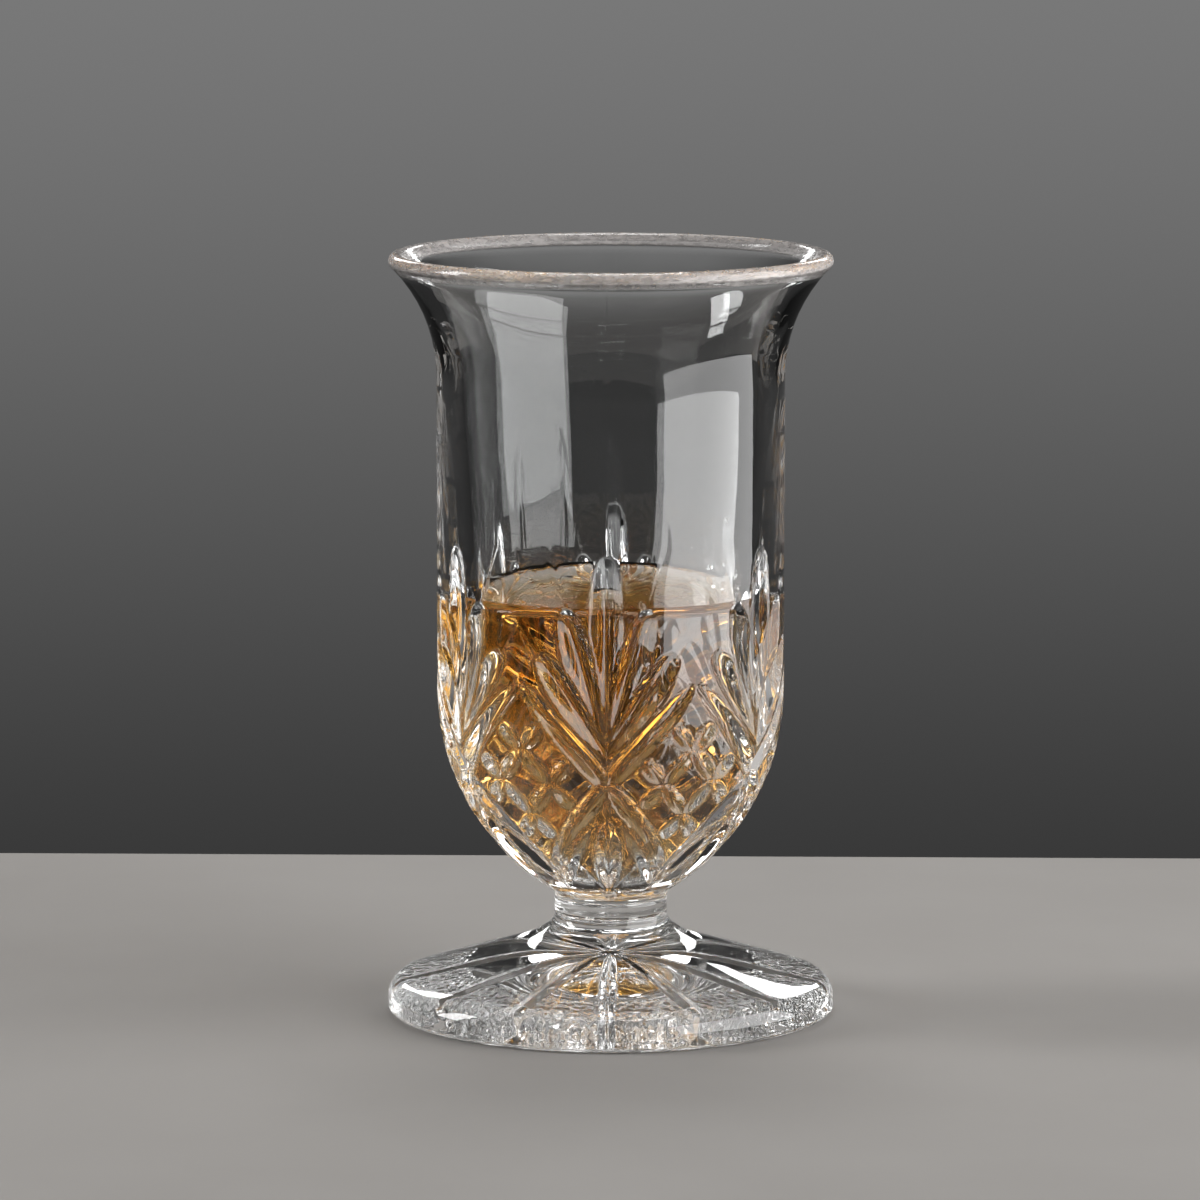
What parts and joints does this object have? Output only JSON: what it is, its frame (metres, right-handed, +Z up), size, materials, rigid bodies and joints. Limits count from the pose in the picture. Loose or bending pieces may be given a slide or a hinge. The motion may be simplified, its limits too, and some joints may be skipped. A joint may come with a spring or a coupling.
{
  "type": "whisky tasting glass",
  "caption": "Footed whisky tasting glass in cut crystal: flared lip, straight bowl cut with fans and diamonds, short collar, wide foot with a star below, and an amber pour.",
  "frame": {"origin": "centre of the foot, on the plane of the table that the glass stands on", "axes": "+Z up along the axis of the glass; -Y the side with a fan of the cut pattern in the middle, as in the picture; +X to the right of that side"},
  "size_m": [0.069, 0.069, 0.1175],
  "materials": {
    "crystal": "polished",
    "whisky": "gloss"
  },
  "bodies": {
    "glass": {"bowl": "crystal", "joining_collar": "crystal", "foot": "crystal"},
    "pour": {"whisky_pour": "whisky"}
  },
  "joints": [
    {"name": "pour_swirl", "type": "hinge", "parent": "glass", "child": "pour", "pos_m": [0, 0, 0.0445], "axis": [0, 0, 1], "continuous": true}
  ]
}
